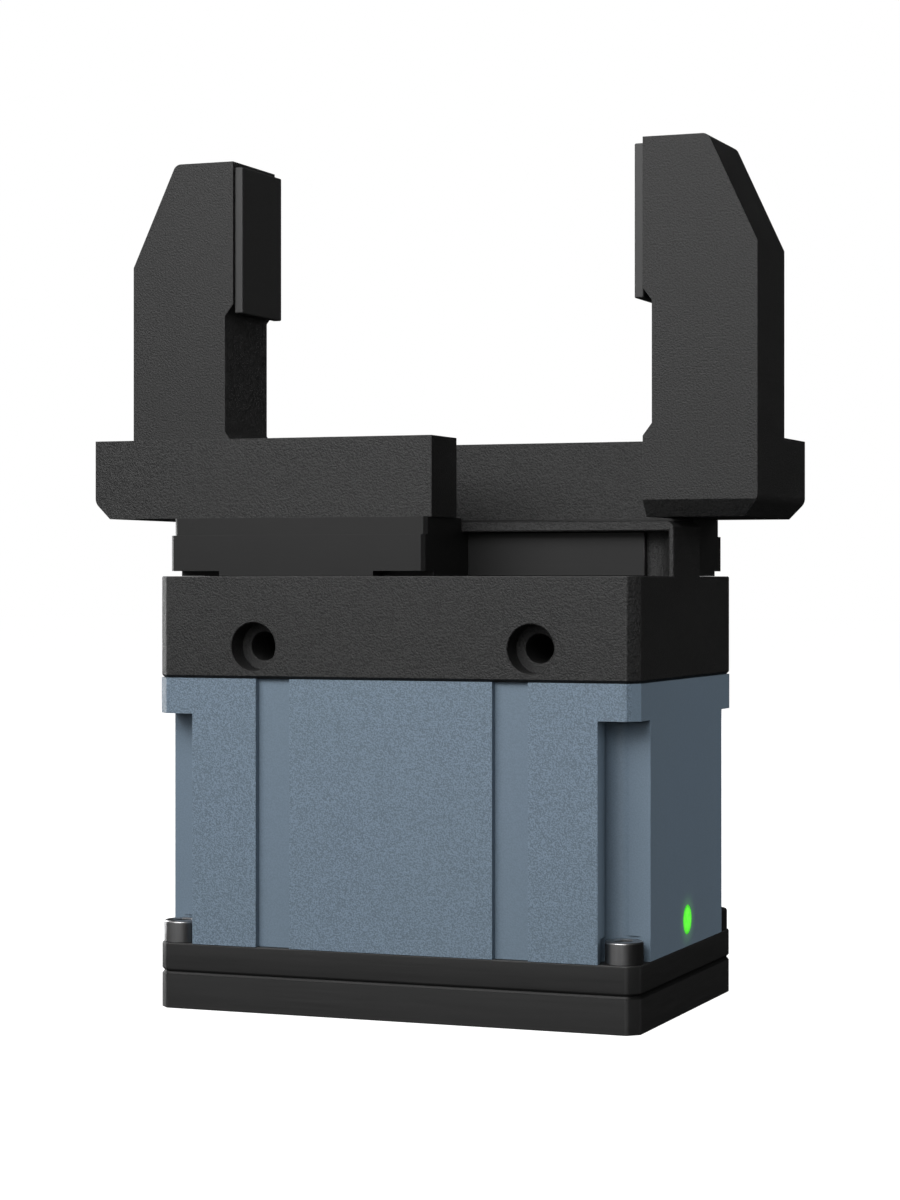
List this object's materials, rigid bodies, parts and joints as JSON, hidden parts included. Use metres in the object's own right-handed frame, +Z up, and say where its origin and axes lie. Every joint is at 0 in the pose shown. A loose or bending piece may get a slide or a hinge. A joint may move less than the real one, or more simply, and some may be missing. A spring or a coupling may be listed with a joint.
{
  "type": "pneumatic gripper",
  "caption": "Parallel pneumatic gripper: a blue-grey cylinder housing between black plates, a guide housing with sliding base jaws, and long angled black fingers with gripping pads.",
  "frame": {"origin": "middle of the underside of the adapter plate", "axes": "+Z up from the adapter plate towards the fingertips, X along the jaw travel, +Y towards the rear face with the air ports; the row is stored with the jaws fully open"},
  "size_m": [0.1552, 0.075, 0.1981],
  "materials": {
    "black_blasted": "bead-blasted, black anodised",
    "black_plate": "brushed, black anodised",
    "black_smooth": "smooth black steel",
    "blue_anodised": "blue-grey anodised, fine grain",
    "dark_steel": "blackened steel screws",
    "steel": "ground steel",
    "bare_aluminium": "turned aluminium",
    "bronze": "sintered bronze",
    "gold_pin": "gold plated",
    "black_rubber": "nitrile and polyurethane rubber",
    "pad_plastic": "hard polyurethane, fine grain",
    "ring_plastic": "filled bearing plastic",
    "black_plastic": "moulded",
    "board_green": "circuit board with solder mask",
    "lamp_clear": "clear lamp body",
    "lens_green": "lit green lens"
  },
  "bodies": {
    "housing": {"adapter_plate": "black_plate", "base_plate": "black_plate", "corner_screws": "dark_steel", "housing_screws": "dark_steel", "base_seal": "black_rubber", "lower_bumper": "black_rubber", "cylinder_housing": "blue_anodised", "upper_bumper": "black_rubber", "rod_seal": "black_rubber", "rod_bush": "bronze", "dowel_pins": "steel", "guide_housing": "black_blasted", "guide_screws": "dark_steel", "guide_strips": "black_smooth", "sensor_board": "board_green", "field_sensor": "black_plastic", "status_lamp": "lamp_clear", "status_lens": "lens_green", "socket_shell": "bare_aluminium", "socket_insert": "black_plastic", "socket_pins": "gold_pin"},
    "drive": {"piston": "bare_aluminium", "piston_seal": "black_rubber", "wear_ring": "ring_plastic", "magnet_ring": "dark_steel", "piston_nut": "steel", "piston_rod": "steel", "drive_wedge": "steel", "wedge_screw": "dark_steel"},
    "jaw_front": {"jaw_hook_front": "steel", "hook_screw_front": "dark_steel", "base_jaw_front": "black_smooth", "sleeves_front": "steel", "finger_front": "black_blasted", "finger_screws_front": "dark_steel", "pad_front": "pad_plastic"},
    "jaw_rear": {"jaw_hook_rear": "steel", "hook_screw_rear": "dark_steel", "base_jaw_rear": "black_smooth", "sleeves_rear": "steel", "finger_rear": "black_blasted", "finger_screws_rear": "dark_steel", "pad_rear": "pad_plastic"}
  },
  "joints": [
    {"name": "piston_slide", "type": "slide", "parent": "housing", "child": "drive", "axis": [0, 0, 1], "range_m": [0, 0.016]},
    {"name": "jaw_front_slide", "type": "slide", "parent": "housing", "child": "jaw_front", "axis": [1, 0, 0], "range_m": [0, 0.016]},
    {"name": "jaw_rear_slide", "type": "slide", "parent": "housing", "child": "jaw_rear", "axis": [-1, 0, 0], "range_m": [0, 0.016]}
  ],
  "couplings": [
    {"joint": "jaw_front_slide", "follows": "piston_slide", "ratio": 1},
    {"joint": "jaw_rear_slide", "follows": "piston_slide", "ratio": 1}
  ]
}
